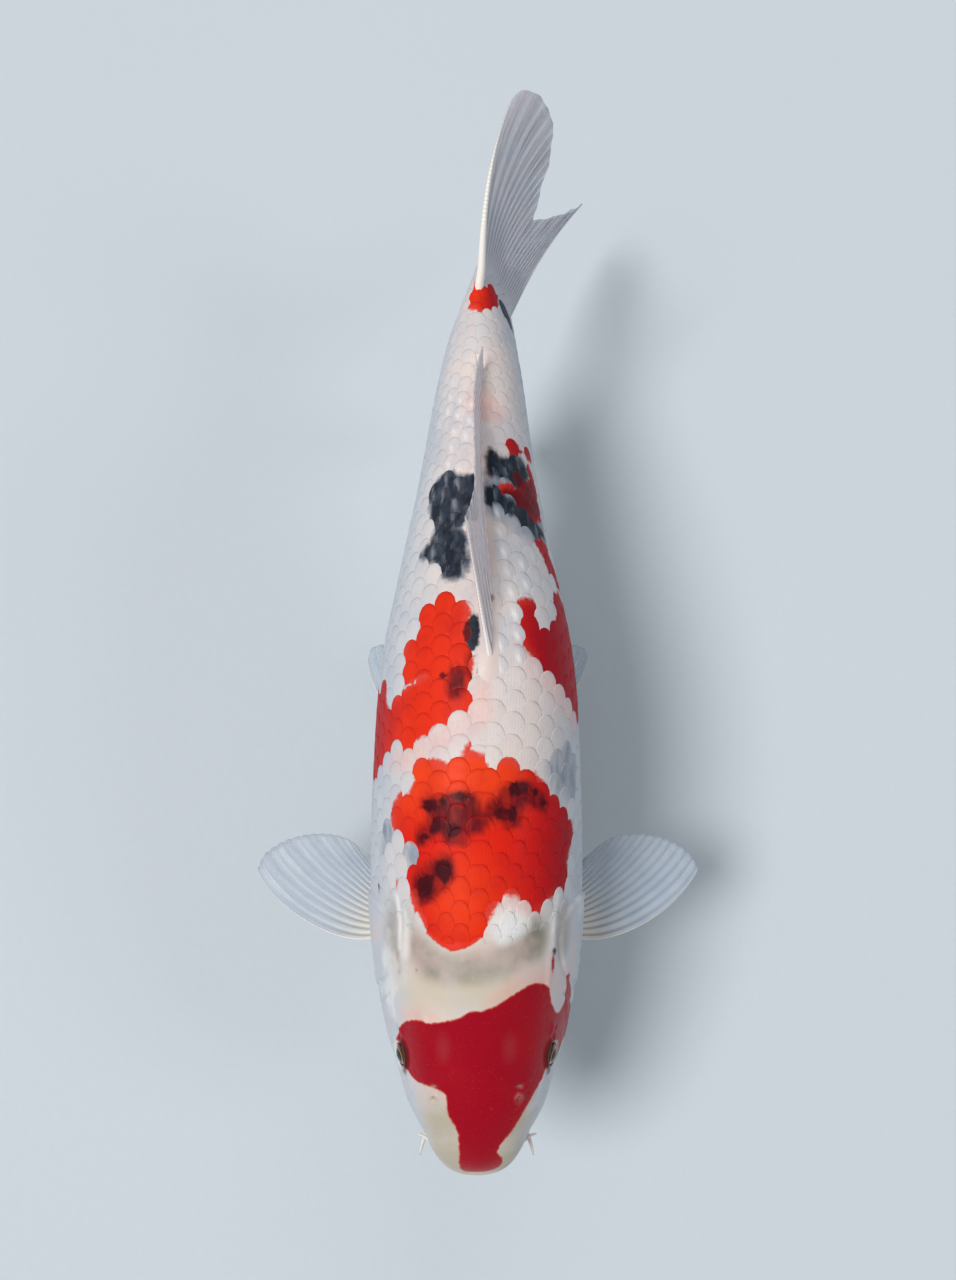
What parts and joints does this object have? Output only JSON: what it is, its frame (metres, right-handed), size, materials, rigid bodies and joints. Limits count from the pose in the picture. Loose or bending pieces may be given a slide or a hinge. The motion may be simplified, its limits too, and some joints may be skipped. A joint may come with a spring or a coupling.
{
  "type": "koi carp",
  "caption": "Life-size white, red and black koi carp with fins spread and tail swept to its left, held over a flat oval base by short rods.",
  "frame": {"origin": "middle of the flat underside of the stand's base, below the fish's centre of mass", "axes": "the fish swims towards -Y with its back towards +Z, so +X is its left side"},
  "size_m": [0.2552, 0.5942, 0.2302],
  "materials": {
    "skin": "wet pearly white skin with red and black patches",
    "fin": "thin, nearly clear fin skin between pale rays",
    "eye": "clear wet eye, dark with a bronze ring",
    "base_wood": "oiled dark walnut",
    "rod_steel": "satin"
  },
  "bodies": {
    "root": {"head": "skin", "upper_lip": "skin", "lower_jaw": "skin", "gill_cover_left": "skin", "gill_cover_right": "skin", "eye_left": "eye", "eye_right": "eye", "barbel_corner_left": "skin", "barbel_corner_right": "skin", "barbel_lip_left": "skin", "barbel_lip_right": "skin", "trunk_front": "skin", "trunk_rear": "skin", "tail_stalk": "skin", "dorsal_fin": "fin", "anal_fin": "fin", "tail_fin_upper": "fin", "tail_fin_lower": "fin", "pectoral_fin_left": "fin", "pectoral_fin_right": "fin", "pelvic_fin_left": "fin", "pelvic_fin_right": "fin", "stand_base": "base_wood", "stand_rod_front": "rod_steel", "stand_rod_rear": "rod_steel"}
  },
  "joints": []
}
